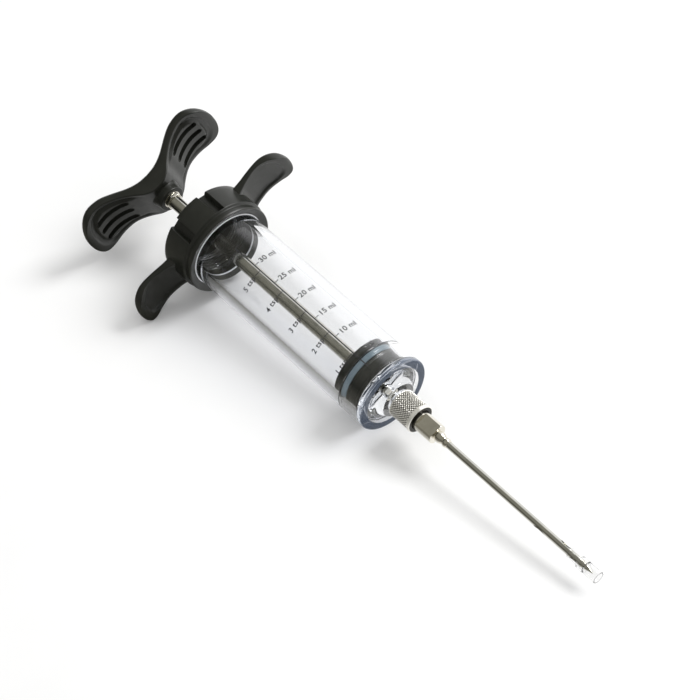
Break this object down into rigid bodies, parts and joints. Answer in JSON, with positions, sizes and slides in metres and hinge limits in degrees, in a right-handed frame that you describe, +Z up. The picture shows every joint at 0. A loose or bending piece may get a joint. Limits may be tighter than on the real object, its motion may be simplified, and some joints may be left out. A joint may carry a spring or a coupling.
{
  "type": "marinade injector",
  "caption": "Hand syringe for injecting marinade: clear barrel, black screw cap with finger wings, steel plunger with palm handle, screw-on side-port needle with tip guard.",
  "frame": {"origin": "on the syringe axis, at half of the overall length from the palm handle to the front of the tip guard", "axes": "+X along the syringe axis towards the needle tip, +Z up, +Y to the left when looking along +X; the finger wings and palm handle are rolled 28 degrees about +X from +Y"},
  "size_m": [0.247, 0.0734, 0.0476],
  "materials": {
    "black_plastic": "satin",
    "clear_plastic": "clear, polished",
    "black_rubber": "smooth",
    "grey_plastic": "satin",
    "steel": "polished",
    "nickel": "nickel plate"
  },
  "bodies": {
    "barrel": {"barrel": "clear_plastic"},
    "guide": {"rod_guide_washer": "black_plastic"},
    "cap": {"screw_cap": "black_plastic"},
    "piston": {"piston_rear_seal": "black_rubber", "piston_core": "grey_plastic", "piston_front_seal": "black_rubber", "stud_o_ring": "black_rubber"},
    "plunger": {"palm_handle": "black_plastic", "handle_insert": "nickel", "rod_lock_nut": "nickel", "plunger_rod": "steel", "piston_rear_washer": "steel", "piston_front_washer": "steel", "piston_end_nut": "nickel"},
    "needle": {"nozzle_washer": "black_rubber", "needle_hub": "nickel", "needle_tube": "steel", "needle_point": "steel"},
    "nut": {"knurled_nut": "nickel"},
    "guard": {"tip_guard": "clear_plastic"}
  },
  "joints": [
    {"name": "plunger_slide", "type": "slide", "parent": "barrel", "child": "piston", "axis": [-1, 0, 0], "range_m": [0, 0.086]},
    {"name": "plunger_spin", "type": "hinge", "parent": "piston", "child": "plunger", "pos_m": [0, 0, 0], "axis": [-1, 0, 0], "continuous": true},
    {"name": "cap_travel", "type": "slide", "parent": "barrel", "child": "guide", "axis": [-1, 0, 0], "range_m": [0, 0.0071]},
    {"name": "cap_turn", "type": "hinge", "parent": "guide", "child": "cap", "pos_m": [-0.08, 0, 0], "axis": [-1, 0, 0], "range_deg": [0, 1440]},
    {"name": "needle_travel", "type": "slide", "parent": "barrel", "child": "needle", "axis": [1, 0, 0], "range_m": [0, 0.0061]},
    {"name": "nut_turn", "type": "hinge", "parent": "needle", "child": "nut", "pos_m": [0.03, 0, 0], "axis": [1, 0, 0], "range_deg": [0, 2160]},
    {"name": "guard_slide", "type": "slide", "parent": "needle", "child": "guard", "axis": [1, 0, 0], "range_m": [0, 0.016]}
  ],
  "couplings": [
    {"joint": "cap_travel", "follows": "cap_turn", "m_per_rad": 0.00027852},
    {"joint": "needle_travel", "follows": "nut_turn", "m_per_rad": 0.00015915}
  ]
}
